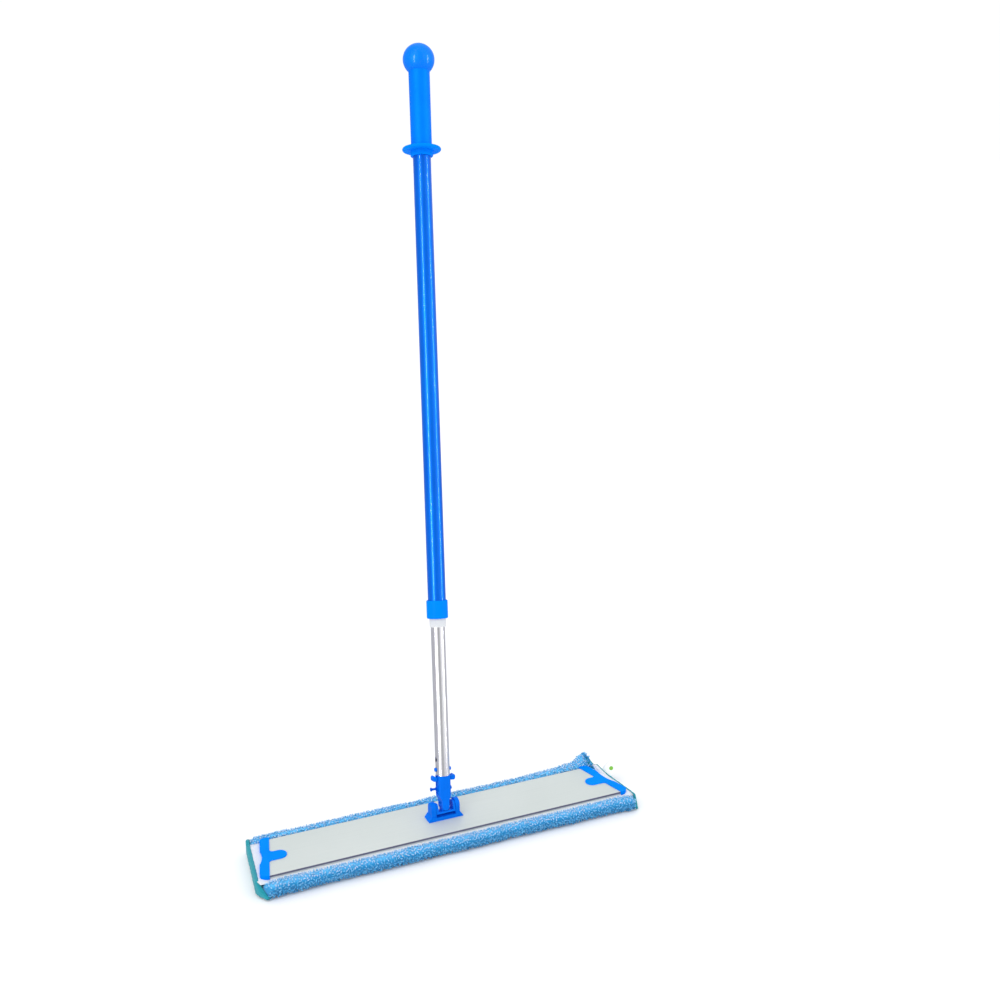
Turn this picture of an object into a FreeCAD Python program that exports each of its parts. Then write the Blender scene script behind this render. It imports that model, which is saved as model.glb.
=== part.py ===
import FreeCAD, Part
import math
import os
import Sketcher

# A telescopic flat mop: a microfibre pad held by hook strips under an aluminium plate, a two-way
# joint, a snap-in lower tube, and an upper tube that slides over it and ends in a grip and a ball.
# Millimetres. The origin is on the floor under the middle of the pad. +X runs along the head,
# -Y is its front (its longer edge) and +Z is up.

SIZES = {
    # pad
    "pad_depth": 140,
    "pad_front_length": 624,
    "pad_rear_length": 592,
    "pad_thickness": 22,
    "pad_corner_radius": 10,
    "pad_top_round": 7,
    "pad_floor_round": 5,
    "backing_margin": 18,
    "backing_end_margin": 5,
    "backing_thickness": 1,
    "core_thickness": 7,
    "binding_thickness": 2.5,
    "binding_length": 112,
    "label_width": 30,
    "label_length": 30,
    "label_thickness": 0.8,
    "label_slant": 45,
    "label_offset": 8,
    "label_tuck": 4,
    # plate and its fittings
    "pad_clearance": 0.4,
    "plate_depth": 95,
    "plate_front_length": 592,
    "plate_rear_length": 545,
    "sheet_thickness": 1.8,
    "lip_depth": 4.6,
    "lip_thickness": 1.6,
    "rib_depth": 4.2,
    "rib_offset": 8.8,
    "hook_strip_width": 30,
    "hook_strip_length": 500,
    "hook_strip_thickness": 2.4,
    "cap_overlap": 8,
    "cap_width": 14.3,
    "cap_waist": 10.8,
    "cap_waist_half": 21,
    "cap_waist_radius": 64.75,
    "cap_half_length": 52,
    "cap_round": 8.5,
    "cap_top": 1.6,
    "finger_length": 26,
    "finger_width": 22,
    "finger_flare": 5,
    "finger_root": 4,
    # two-way joint
    "foot_length": 57,
    "foot_depth": 20,
    "foot_height": 6,
    "foot_shoulder": 8,
    "foot_edge": 1.2,
    "ear_inside": 16,
    "ear_outside": 23.5,
    "ear_radius": 9.5,
    "ear_round": 2,
    "pivot_height": 19,
    "pin_radius": 2.5,
    "pin_clearance": 0.05,
    "pin_recess": 0.3,
    "pin_proud": 0.5,
    "rivet_offset": 9,
    "rivet_radius": 2,
    "rivet_head_radius": 4,
    "rivet_head_height": 1.3,
    "rivet_reach": 4,
    "cross_outside": 15.4,
    "cross_inside": 12.3,
    "cross_depth": 17,
    "cross_bottom": 9.5,
    "cross_rail_top": 6.5,
    "cross_wall_top": 6.5,
    "cross_wall_round": 5,
    "boss_radius": 5.6,
    "boss_depth": 11.4,
    "fore_aft_lean": 15.3,
    "side_lean": 4.75,
    # socket
    "yoke_depth": 19.6,
    "yoke_gap": 12,
    "yoke_gap_top": 6.2,
    "yoke_neck_top": 9.5,
    "yoke_shoulder": 17.5,
    "yoke_half_width": 10,
    "yoke_top": 47.6,
    "yoke_round": 4,
    "stem_radius": 10.1,
    "stem_length": 21,
    "stem_round": 1.5,
    "slot_bottom": 30.5,
    "slot_top": 66,
    "slot_width": 8,
    "cross_pin_height": 27.2,
    "cross_pin_radius": 1.8,
    "cross_pin_left": 21,
    "cross_pin_proud": 0.6,
    "pin_bulb_radius": 2.9,
    "pin_bulb_length": 1.4,
    "pin_bulb_taper": 1.2,
    "washer_radius": 3.2,
    "washer_thickness": 1.5,
    "pin_head_radius": 3.4,
    "pin_head_height": 1.6,
    "recess_depth": 1.6,
    "recess_half_width": 5.5,
    "recess_bottom": 19,
    "recess_top": 36,
    "recess_boss_radius": 4.2,
    # release levers
    "lever_pivot_out": 6.5,
    "lever_pivot_height": 34,
    "lever_pin_radius": 1.5,
    "lever_pin_length": 16,
    "lever_thickness": 7.4,
    "lever_inside": 4,
    "lever_outside": 8.8,
    "lever_heel": 9.2,
    "lever_bottom": 31.6,
    "lever_top": 61,
    "wing_reach": 18.6,
    "wing_root": 12,
    "wing_width": 9.4,
    "wing_low": 39.5,
    "wing_root_high": 45.4,
    "wing_high": 48,
    "wing_round": 3,
    "button_height": 57,
    "button_radius": 3,
    "button_round": 0.8,
    "button_reach": 13.3,
    "spring_height": 50,
    "spring_radius": 1.9,
    "spring_wire": 0.3,
    "spring_pitch": 1.3,
    "spring_length": 7.6,
    "spring_seat_radius": 2.75,
    "spring_seat_depth": 2.4,
    # lower tube
    "lower_tube_radius": 11,
    "tube_wall": 0.8,
    "lower_tube_length": 720,
    "tube_hole_radius": 3.8,
    "spare_hole_height": 73,
    "bush_skirt": 16,
    "bush_cap": 6,
    "bush_round": 1,
    # upper tube and twist clamp
    "upper_tube_radius": 14,
    "upper_tube_low": 295,
    "upper_tube_high": 1128,
    "running_gap": 0.05,
    "collet_low": 278,
    "collet_high": 314,
    "collet_radius": 12.8,
    "collet_slit": 2,
    "collet_bridge": 5,
    "nut_low": 291.3,
    "nut_high": 319.3,
    "nut_radius": 16.6,
    "nut_lip_high": 294.7,
    "nut_bevel": 1,
    "ferrule_radius": 15,
    "ferrule_low": 297,
    "ferrule_high": 318.5,
    # grip, guard and ball
    "guard_low": 1006,
    "guard_disc_low": 1014.4,
    "guard_disc_thickness": 5,
    "guard_hub_radius": 17.6,
    "guard_radius": 30.1,
    "grip_low_radius": 16.2,
    "grip_high_radius": 16.5,
    "ball_join": 1137.4,
    "ball_centre": 1155.9,
    "ball_radius": 24.65,
    "ball_wall": 3,
    "ball_shoulder_radius": 13.9,
    "ball_plug_low": 1105,
    "ball_plug_bore": 10.5,
    # how far a feature starts inside the one that it grows from, or a cutter runs past the material
    "sink": 1,
}

doc = FreeCAD.newDocument("flat_mop")
sheet = doc.addObject("Spreadsheet::Sheet", "Sizes")
for row, (alias, number) in enumerate(SIZES.items(), start=1):
    sheet.set("A%d" % row, alias)
    sheet.set("B%d" % row, str(number))
    sheet.setAlias("B%d" % row, alias)
doc.recompute()


class Size:
    """A number together with the spreadsheet formula that it follows."""

    def __init__(self, number, formula):
        self.number = number
        self.formula = formula

    def __add__(self, other):
        other = as_size(other)
        return Size(self.number + other.number, "(%s + %s)" % (self.formula, other.formula))

    def __sub__(self, other):
        other = as_size(other)
        return Size(self.number - other.number, "(%s - %s)" % (self.formula, other.formula))

    def __mul__(self, other):
        other = as_size(other)
        return Size(self.number * other.number, "(%s * %s)" % (self.formula, other.formula))

    def __truediv__(self, other):
        other = as_size(other)
        return Size(self.number / other.number, "(%s / %s)" % (self.formula, other.formula))

    def __neg__(self):
        return Size(-self.number, "(-1 * %s)" % self.formula)

    def __rsub__(self, other):
        return as_size(other) - self

    __radd__ = __add__
    __rmul__ = __mul__


def as_size(thing):
    if isinstance(thing, Size):
        return thing
    return Size(float(thing), "(%.6f)" % thing)


def size(alias):
    return Size(float(SIZES[alias]), "Sizes.%s" % alias)


def bind(thing, prop, wanted):
    """Set one property of an object to follow the spreadsheet."""
    thing.setExpression(prop, as_size(wanted).formula)


def plane_of(body, role):
    for feature in body.Origin.OriginFeatures:
        if feature.Role == role:
            return feature
    raise RuntimeError("no plane " + role)


def new_body(label):
    body = doc.addObject("PartDesign::Body", label)
    body.Label = label
    return body


def new_sketch(body, name, role, offset=0, turn=0):
    """An empty sketch on an origin plane, moved along its normal and turned in its own plane."""
    sketch = body.newObject("Sketcher::SketchObject", name)
    sketch.AttachmentSupport = [(plane_of(body, role), "")]
    sketch.MapMode = "FlatFace"
    turned = FreeCAD.Rotation(FreeCAD.Vector(0, 0, 1), as_size(turn).number)
    sketch.AttachmentOffset = FreeCAD.Placement(FreeCAD.Vector(0, 0, as_size(offset).number), turned)
    bind(sketch, "AttachmentOffset.Base.z", offset)
    return sketch


def arc_between(start, end, radius):
    """The arc from start to end; it bulges to the right of the way, or left if radius < 0."""
    first, last = (start, end) if radius > 0 else (end, start)
    along = last - first
    half = along.Length / 2
    reach = max(abs(radius), half)
    left = FreeCAD.Vector(-along.y, along.x, 0)
    left.normalize()
    centre = (first + last) / 2 + left * math.sqrt(max(reach * reach - half * half, 0))
    low = math.atan2(first.y - centre.y, first.x - centre.x)
    high = math.atan2(last.y - centre.y, last.x - centre.x)
    if high <= low:
        high += 2 * math.pi
    return Part.ArcOfCircle(Part.Circle(centre, FreeCAD.Vector(0, 0, 1), reach), low, high)


def hold_arc(sketch, index, start, spot):
    """Fix an arc's last freedom by its radius, or by its centre if that is given or lies on the chord."""
    chord = FreeCAD.Vector(spot[0].number, spot[1].number, 0) - start
    radius = spot[2] if spot[2].number > 0 else -spot[2]
    if len(spot) > 3:
        rule = Sketcher.Constraint("DistanceY", -1, 1, index, 3, spot[3].number)
        wanted = spot[3]
    elif radius.number > chord.Length / 2 + 1e-6:
        rule = Sketcher.Constraint("Radius", index, radius.number)
        wanted = radius
    elif abs(chord.x) > abs(chord.y):
        rule = Sketcher.Constraint("DistanceY", -1, 1, index, 3, spot[1].number)
        wanted = spot[1]
    else:
        rule = Sketcher.Constraint("DistanceX", -1, 1, index, 3, spot[0].number)
        wanted = spot[0]
    number = sketch.addConstraint(rule)
    bind(sketch, "Constraints[%d]" % number, wanted)


def outline(body, name, role, corners, offset=0, turn=0):
    """A closed sketch of straight edges and arcs.

    A corner's third entry is the radius of the arc that leads to it; its fourth is the height of
    that arc's centre.
    """
    sketch = new_sketch(body, name, role, offset, turn)
    spots = [tuple(as_size(entry) for entry in corner) for corner in corners]
    points = [FreeCAD.Vector(spot[0].number, spot[1].number, 0) for spot in spots]
    count = len(spots)
    for index in range(count):
        start = points[index - 1]
        end = points[index]
        if len(spots[index]) > 2:
            sketch.addGeometry(arc_between(start, end, spots[index][2].number), False)
        else:
            sketch.addGeometry(Part.LineSegment(start, end), False)
    tips = []
    for index in range(count):
        arc = sketch.Geometry[index]
        flipped = isinstance(arc, Part.ArcOfCircle) and (arc.EndPoint - points[index]).Length > 1e-6
        tips.append((2, 1) if flipped else (1, 2))
    for index in range(count):
        following = (index + 1) % count
        pair = Sketcher.Constraint("Coincident", index, tips[index][1], following, tips[following][0])
        sketch.addConstraint(pair)
        for axis, wanted in (("DistanceX", spots[index][0]), ("DistanceY", spots[index][1])):
            rule = Sketcher.Constraint(axis, -1, 1, index, tips[index][1], wanted.number)
            number = sketch.addConstraint(rule)
            bind(sketch, "Constraints[%d]" % number, wanted)
        if len(spots[index]) > 2:
            hold_arc(sketch, index, points[index - 1], spots[index])
    return sketch


def rings(body, name, role, centres, radius, offset=0):
    """A sketch of equal circles."""
    sketch = new_sketch(body, name, role, offset)
    for across, up in centres:
        across = as_size(across)
        up = as_size(up)
        centre = FreeCAD.Vector(across.number, up.number, 0)
        circle = Part.Circle(centre, FreeCAD.Vector(0, 0, 1), as_size(radius).number)
        index = sketch.addGeometry(circle, False)
        rules = [("DistanceX", across), ("DistanceY", up)]
        for axis, wanted in rules:
            number = sketch.addConstraint(Sketcher.Constraint(axis, -1, 1, index, 3, wanted.number))
            bind(sketch, "Constraints[%d]" % number, wanted)
        number = sketch.addConstraint(Sketcher.Constraint("Radius", index, as_size(radius).number))
        bind(sketch, "Constraints[%d]" % number, radius)
    return sketch


def pad(body, sketch, length, symmetric=False):
    feature = body.newObject("PartDesign::Pad", sketch.Name + "_pad")
    feature.Profile = sketch
    feature.SideType = "Symmetric" if symmetric else "One side"
    bind(feature, "Length", length)
    doc.recompute()
    return feature


def pocket(body, sketch, length, symmetric=True):
    """Cut both ways from the sketch, or only against its normal, and make sure it removes material."""
    before = body.Shape.Volume
    feature = body.newObject("PartDesign::Pocket", sketch.Name + "_pocket")
    feature.Profile = sketch
    feature.SideType = "Symmetric" if symmetric else "One side"
    bind(feature, "Length", length)
    doc.recompute()
    if body.Shape.Volume > before - 1e-3:
        raise RuntimeError(sketch.Name + " cuts nothing")
    return feature


def mirrored(body, feature, role):
    """Repeat one feature on the other side of an origin plane."""
    twin = body.newObject("PartDesign::Mirrored", feature.Name + "_twin")
    twin.Originals = [feature]
    twin.MirrorPlane = (plane_of(body, role), [""])
    body.Tip = twin
    doc.recompute()
    return twin


def rounded(body, radius, wanted):
    """Fillet the edges of the body's last feature that wanted(edge) picks."""
    tip = body.Tip
    names = ["Edge%d" % number for number, edge in enumerate(tip.Shape.Edges, start=1) if wanted(edge)]
    if not names:
        raise RuntimeError("no edge to round on " + body.Label)
    feature = body.newObject("PartDesign::Fillet", body.Name + "_round")
    feature.Base = (tip, names)
    bind(feature, "Radius", radius)
    doc.recompute()
    return feature


def turned(label, corners):
    """A body of revolution about its own Z axis; the corners are (radius, height)."""
    body = new_body(label)
    sketch = outline(body, label + "_profile", "XZ_Plane", corners)
    feature = body.newObject("PartDesign::Revolution", label + "_turn")
    feature.Profile = sketch
    feature.ReferenceAxis = (sketch, ["V_Axis"])
    feature.Angle = 360
    doc.recompute()
    return body


def ring_profile(inside, outside, low, high):
    return [(inside, low), (outside, low), (outside, high), (inside, high)]


def cylinder(label, radius, length, base=(0, 0, 0), direction=(0, 0, 1)):
    rod = doc.addObject("Part::Cylinder", label)
    rod.Label = label
    bind(rod, "Radius", radius)
    bind(rod, "Height", length)
    spin = FreeCAD.Rotation(FreeCAD.Vector(0, 0, 1), FreeCAD.Vector(*direction))
    rod.Placement = FreeCAD.Placement(FreeCAD.Vector(*[as_size(entry).number for entry in base]), spin)
    for name, wanted in zip("xyz", base):
        bind(rod, "Placement.Base." + name, wanted)
    return rod


def compound(label, members):
    group = doc.addObject("Part::Compound", label)
    group.Label = label
    group.Links = members
    return group


def at_height(edge, height):
    box = edge.BoundBox
    return abs(box.ZMin - height) < 1e-4 and abs(box.ZMax - height) < 1e-4


def is_upright(edge):
    box = edge.BoundBox
    return box.XLength < 1e-4 and box.YLength < 1e-4


# ---------------------------------------------------------------- where the sub-parts stand

pad_top = size("pad_thickness")
plate_top = pad_top + size("pad_clearance") + size("lip_depth")
pivot = FreeCAD.Vector(0, 0, plate_top.number + SIZES["pivot_height"])
fore_aft = FreeCAD.Rotation(FreeCAD.Vector(1, 0, 0), -SIZES["fore_aft_lean"])
side_tilt = FreeCAD.Rotation(FreeCAD.Vector(0, 1, 0), SIZES["side_lean"])
head_place = FreeCAD.Placement(FreeCAD.Vector(0, 0, plate_top.number), FreeCAD.Rotation())
cross_place = FreeCAD.Placement(pivot, fore_aft)
handle_place = FreeCAD.Placement(pivot, fore_aft * side_tilt)
half_turn = FreeCAD.Placement(FreeCAD.Vector(), FreeCAD.Rotation(FreeCAD.Vector(0, 0, 1), 180))

sub_parts = []


def finished(thing, place=None):
    """Give a sub-part its place and put it on the list of those to write."""
    if place is not None:
        thing.Placement = place
    sub_parts.append(thing)
    return thing


# ---------------------------------------------------------------- pad

pad_half_depth = size("pad_depth") / 2
pad_front_half = size("pad_front_length") / 2
pad_rear_half = size("pad_rear_length") / 2
pad_middle_half = (pad_front_half + pad_rear_half) / 2
pad_slope = (pad_front_half - pad_rear_half) / size("pad_depth")


def pad_outline(body, name, side_margin, end_margin, height):
    """The pad's plan, longer in front, taken in by the two margins."""
    front = pad_half_depth - side_margin
    front_half = pad_middle_half + pad_slope * front - end_margin
    rear_half = pad_middle_half - pad_slope * front - end_margin
    corners = [(-front_half, -front), (front_half, -front), (rear_half, front), (-rear_half, front)]
    return outline(body, name, "XY_Plane", corners, height)


def make_pad_pile():
    """Looped microfibre that covers the underside and rolls up over all four edges."""
    body = new_body("pad_pile")
    pad(body, pad_outline(body, "pile_plan", 0, 0, 0), pad_top)
    rounded(body, size("pad_corner_radius"), is_upright)
    rounded(body, size("pad_floor_round"), lambda edge: at_height(edge, 0))
    rounded(body, size("pad_top_round"), lambda edge: at_height(edge, pad_top.number))
    tray = pad_outline(body, "tray_plan", size("backing_margin"), size("backing_end_margin"), pad_top)
    pocket(body, tray, (size("core_thickness") + size("backing_thickness")) * 2)
    return finished(body)


def make_pad_layer(label, low, thickness):
    """A flat layer that fills the tray in the pile."""
    body = new_body(label)
    plan = pad_outline(body, label + "_plan", size("backing_margin"), size("backing_end_margin"), low)
    pad(body, plan, thickness)
    return finished(body)


def make_end_binding(label, side):
    """Woven tape folded along one short end of the pad."""
    body = new_body(label)
    reach = size("binding_length") / 2
    tape = size("binding_thickness")
    near = pad_middle_half + pad_slope * reach
    far = pad_middle_half - pad_slope * reach
    corners = [(near, -reach), (near + tape, -reach), (far + tape, reach), (far, reach)]
    if side < 0:
        corners = [(-across, along) for across, along in reversed(corners)]
    floor_gap = size("pad_floor_round") / 2
    pad(body, outline(body, label + "_plan", "XY_Plane", corners, floor_gap), pad_top - floor_gap)
    return finished(body)


def make_care_label():
    """A blank tag sewn into the right-hand end, standing up at a slant."""
    tag = doc.addObject("Part::Box", "care_label")
    tag.Label = "care_label"
    bind(tag, "Length", size("label_length"))
    bind(tag, "Width", size("label_width"))
    bind(tag, "Height", size("label_thickness"))
    foot = pad_middle_half + size("binding_thickness")
    place = FreeCAD.Vector(foot.number, SIZES["label_offset"], pad_top.number - SIZES["label_tuck"])
    lifted = FreeCAD.Rotation(FreeCAD.Vector(0, 1, 0), -SIZES["label_slant"])
    return finished(tag, FreeCAD.Placement(place, lifted))


# ---------------------------------------------------------------- plate and its fittings

plate_half_depth = size("plate_depth") / 2
plate_front_half = size("plate_front_length") / 2
plate_rear_half = size("plate_rear_length") / 2
plate_slant = math.degrees(math.atan((plate_front_half - plate_rear_half).number / SIZES["plate_depth"]))


def make_plate():
    """An aluminium extrusion with a lip along each long edge and two ribs, cut to a trapezoid."""
    body = new_body("plate")
    edge = plate_half_depth
    lip = edge - size("lip_thickness")
    sheet_low = -size("sheet_thickness")
    rib_out = size("rib_offset")
    rib_in = rib_out - size("lip_thickness")
    half = [(edge, 0), (edge, -size("lip_depth")), (lip, -size("lip_depth")), (lip, sheet_low)]
    half += [(rib_out, sheet_low), (rib_out, -size("rib_depth"))]
    half += [(rib_in, -size("rib_depth")), (rib_in, sheet_low)]
    section = half + [(-as_size(across), up) for across, up in reversed(half)]
    pad(body, outline(body, "plate_section", "YZ_Plane", section), size("plate_front_length"), True)
    beyond = plate_front_half + size("sink")
    wedge = [(plate_front_half, -edge), (beyond, -edge), (beyond, edge), (plate_rear_half, edge)]
    end_cut = pocket(body, outline(body, "end_wedge", "XY_Plane", wedge), size("lip_depth") * 3)
    mirrored(body, end_cut, "YZ_Plane")
    holes = [(size("rivet_offset"), 0), (-size("rivet_offset"), 0)]
    drilled = rings(body, "plate_holes", "XY_Plane", holes, size("rivet_radius"))
    pocket(body, drilled, size("lip_depth") * 3)
    return finished(body, head_place)


def make_hook_strip(label, side):
    """Hook fastener glued into one of the plate's two channels."""
    strip = doc.addObject("Part::Box", label)
    strip.Label = label
    bind(strip, "Length", size("hook_strip_length"))
    bind(strip, "Width", size("hook_strip_width"))
    bind(strip, "Height", size("hook_strip_thickness"))
    centre = side * (SIZES["plate_depth"] / 2 + SIZES["rib_offset"]) / 2
    low = plate_top.number - SIZES["sheet_thickness"] - SIZES["hook_strip_thickness"]
    corner = FreeCAD.Vector(-SIZES["hook_strip_length"] / 2, centre - SIZES["hook_strip_width"] / 2, low)
    return finished(strip, FreeCAD.Placement(corner, FreeCAD.Rotation()))


def make_end_cap(label, side, plate):
    """A moulded cap over one end of the plate, with a rounded finger that lies on the plate."""
    blank = new_body(label + "_blank")
    half = size("cap_half_length")
    width = size("cap_width")
    curve = size("cap_round")
    bend = size("cap_waist_half")
    hollow = -size("cap_waist_radius")
    strip = [(0, -half), (width - curve, -half), (width, curve - half, curve), (width, -bend)]
    strip += [(size("cap_waist"), 0, hollow, 0), (width, bend, hollow, 0), (width, half - curve)]
    strip += [(width - curve, half, curve), (0, half)]
    low = -size("lip_depth")
    plan = outline(blank, label + "_strip", "XY_Plane", strip, low, side * plate_slant)
    pad(blank, plan, size("lip_depth") + size("cap_top"))
    root = size("finger_root")
    tip = size("finger_width") / 2
    flare = size("finger_flare")
    wide = tip + flare
    shift = wide * ((plate_front_half - plate_rear_half) / size("plate_depth")) * side
    finger = [(root, -wide), (root, wide), (-shift, wide), (-shift - flare, tip, -flare, wide)]
    finger += [(tip - size("finger_length"), tip), (tip - size("finger_length"), -tip, tip)]
    finger += [(shift - flare, -tip), (shift, -wide, -flare, -wide)]
    pad(blank, outline(blank, label + "_finger", "XY_Plane", finger), size("cap_top"))
    crown = plate_top.number + SIZES["cap_top"]
    middle = (SIZES["plate_front_length"] + SIZES["plate_rear_length"]) / 4 - SIZES["cap_overlap"]
    spin = FreeCAD.Rotation(FreeCAD.Vector(0, 0, 1), 0 if side > 0 else 180)
    blank.Placement = FreeCAD.Placement(FreeCAD.Vector(side * middle, 0, plate_top.number), spin)
    doc.recompute()
    cap = doc.addObject("Part::Cut", label)
    cap.Label = label
    cap.Base = blank
    cap.Tool = plate
    doc.recompute()
    if cap.Shape.BoundBox.ZMax > crown + 1e-4:
        raise RuntimeError(label + " is too tall")
    return finished(cap)


def make_rivets():
    """Two rivets that hold the joint bracket to the plate from below."""
    rivets = []
    for side in (-1, 1):
        head = size("rivet_head_height")
        low = -size("sheet_thickness")
        shank = size("sheet_thickness") + size("rivet_reach")
        body = turned("rivet_%s" % ("right" if side > 0 else "left"), [
            (0, low - head), (size("rivet_head_radius"), low - head), (size("rivet_head_radius"), low),
            (size("rivet_radius"), low), (size("rivet_radius"), low + shank), (0, low + shank)])
        shift = FreeCAD.Vector(side * SIZES["rivet_offset"], 0, plate_top.number)
        body.Placement = FreeCAD.Placement(shift, FreeCAD.Rotation())
        rivets.append(body)
    return finished(compound("bracket_rivets", rivets))


# ---------------------------------------------------------------- two-way joint

def make_joint_bracket():
    """A foot with flared ends and two rounded ears that carry the tilt pins."""
    body = new_body("joint_bracket")
    foot = size("foot_length") / 2
    ear_in = size("ear_inside")
    ear_out = size("ear_outside")
    half = [(foot, 0), (foot, size("foot_edge")), (ear_out, size("foot_shoulder"))]
    half += [(ear_in, size("foot_shoulder")), (ear_in, size("foot_height"))]
    front = half + [(-across, up) for across, up in reversed(half)]
    pad(body, outline(body, "foot_front", "XZ_Plane", front), size("foot_depth"), True)
    radius = size("ear_radius")
    pivot_up = size("pivot_height")
    root = size("sink")
    ear = [(-radius, root), (radius, root), (radius, pivot_up), (-radius, pivot_up, radius)]
    lug = pad(body, outline(body, "ear_side", "YZ_Plane", ear, ear_in), ear_out - ear_in)
    mirrored(body, lug, "YZ_Plane")
    bore = rings(body, "ear_bore", "YZ_Plane", [(0, pivot_up)], size("pin_radius"))
    pocket(body, bore, size("foot_length") * 2)
    seats = [(size("rivet_offset"), 0), (-size("rivet_offset"), 0)]
    drilled = rings(body, "rivet_seats", "XY_Plane", seats, size("rivet_radius"))
    pocket(body, drilled, size("rivet_reach") * 2)

    def outer_rim(edge):
        box = edge.BoundBox
        crown = pivot_up.number + radius.number
        at_outside = abs(abs(box.XMin) - ear_out.number) < 1e-4 and box.XLength < 1e-4
        return at_outside and abs(box.ZMax - crown) < 1e-3

    rounded(body, size("ear_round"), outer_rim)
    return finished(body, head_place)


def make_tilt_pins():
    """Two stub pins pressed into the ears; the cross block turns on their inner ends."""
    length = size("ear_outside") - size("cross_inside") - size("pin_recess")
    pins = []
    for side, name in ((-1, "left"), (1, "right")):
        start = size("ear_outside") * side
        pin = cylinder("tilt_pin_" + name, size("pin_radius"), length, (start, 0, size("pivot_height")),
                       (-side, 0, 0))
        pins.append(pin)
    group = compound("tilt_pins", pins)
    return finished(group, head_place)


def make_cross_block():
    """A low U-shaped piece between the ears with a boss in the middle for the side pin."""
    body = new_body("cross_block")
    outside = size("cross_outside")
    inside = size("cross_inside")
    rail = -size("cross_rail_top")
    half = [(outside, -size("cross_bottom")), (outside, size("cross_wall_top"))]
    half += [(inside, size("cross_wall_top")), (inside, rail)]
    front = half + [(-across, up) for across, up in reversed(half)]
    pad(body, outline(body, "cross_front", "XZ_Plane", front), size("cross_depth"), True)
    boss = size("boss_radius")
    root = rail - size("sink")
    boss_front = [(-boss, root), (boss, root), (boss, 0), (-boss, 0, boss)]
    pad(body, outline(body, "boss_front", "XZ_Plane", boss_front), size("boss_depth"), True)
    bore = rings(body, "side_pin_bore", "XZ_Plane", [(0, 0)], size("pin_radius"))
    pocket(body, bore, size("cross_depth") * 2)
    clear = size("pin_radius") + size("pin_clearance")
    wall_middle = (outside + inside) / 2
    wall_bore = rings(body, "tilt_pin_bore", "YZ_Plane", [(0, 0)], clear, wall_middle)
    cut = pocket(body, wall_bore, outside - inside + size("sink") * 2)
    mirrored(body, cut, "YZ_Plane")

    def wall_corner(edge):
        box = edge.BoundBox
        top = SIZES["cross_wall_top"]
        level = abs(box.ZMin - top) < 1e-4 and box.ZLength < 1e-4
        return level and abs(abs(box.YMin) - SIZES["cross_depth"] / 2) < 1e-4 and box.YLength < 1e-4

    rounded(body, size("cross_wall_round"), wall_corner)
    return finished(body, cross_place)


def make_side_pin():
    """The pin pressed through the boss, on which the yoke swings from side to side."""
    length = size("yoke_depth") + size("pin_proud") * 2
    pin = cylinder("side_pin", size("pin_radius"), length)
    lying = FreeCAD.Rotation(FreeCAD.Vector(1, 0, 0), 90)
    middle = FreeCAD.Placement(FreeCAD.Vector(0, length.number / 2, 0), lying)
    for name in "xyz":
        pin.setExpression("Placement.Base." + name, None)
    return finished(pin, cross_place * middle)


# ---------------------------------------------------------------- socket and release levers

def make_socket_yoke():
    """The fork, the socket body and the stem that goes up inside the lower tube, in one moulding."""
    body = new_body("socket_yoke")
    neck = size("boss_radius")
    width = size("yoke_half_width")
    top = size("yoke_top")
    half = [(neck, 0), (neck, size("yoke_neck_top")), (width, size("yoke_shoulder")), (width, top)]
    left = [(-across, up) for across, up in reversed(half)]
    front = [half[0] + (neck,)] + half[1:] + left
    pad(body, outline(body, "yoke_front", "XZ_Plane", front), size("yoke_depth"), True)

    def body_corner(edge):
        box = edge.BoundBox
        return is_upright(edge) and box.ZMax > top.number - 1e-3

    rounded(body, size("yoke_round"), body_corner)
    gap = size("yoke_gap") / 2
    low = -neck - size("sink")
    gap_side = [(-gap, low), (gap, low), (gap, size("yoke_gap_top")), (-gap, size("yoke_gap_top"))]
    pocket(body, outline(body, "fork_gap", "YZ_Plane", gap_side), width * 4)
    stem_round = rings(body, "stem_round", "XY_Plane", [(0, 0)], size("stem_radius"), top)
    pad(body, stem_round, size("stem_length"))
    stem_top = top.number + SIZES["stem_length"]
    rounded(body, size("stem_round"), lambda edge: at_height(edge, stem_top))
    slot = [(-width * 2, size("slot_bottom")), (width * 2, size("slot_bottom"))]
    slot += [(width * 2, size("slot_top")), (-width * 2, size("slot_top"))]
    pocket(body, outline(body, "lever_slot", "XZ_Plane", slot), size("slot_width"))
    clear = size("pin_radius") + size("pin_clearance")
    pocket(body, rings(body, "yoke_bore", "XZ_Plane", [(0, 0)], clear), size("yoke_depth") * 2)
    seats = [(size("lever_pivot_out"), size("lever_pivot_height"))]
    seats += [(-size("lever_pivot_out"), size("lever_pivot_height"))]
    drilled = rings(body, "lever_pin_seats", "XZ_Plane", seats, size("lever_pin_radius"))
    pocket(body, drilled, size("lever_pin_length"))
    side = size("recess_half_width")
    recess = [(-side, size("recess_bottom")), (side, size("recess_bottom"))]
    recess += [(side, size("recess_top")), (-side, size("recess_top"))]
    hollow = pocket(body, outline(body, "side_recess", "YZ_Plane", recess, width), size("recess_depth") * 2)
    mirrored(body, hollow, "YZ_Plane")
    pin_up = size("cross_pin_height")
    boss_low = width - size("recess_depth") - size("sink")
    boss = rings(body, "recess_boss", "YZ_Plane", [(0, pin_up)], size("recess_boss_radius"), boss_low)
    lug = pad(body, boss, size("recess_depth") + size("sink") + size("cross_pin_proud"))
    mirrored(body, lug, "YZ_Plane")
    across = rings(body, "cross_pin_bore", "YZ_Plane", [(0, pin_up)], size("cross_pin_radius"))
    pocket(body, across, width * 4)
    return finished(body, handle_place)


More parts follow.
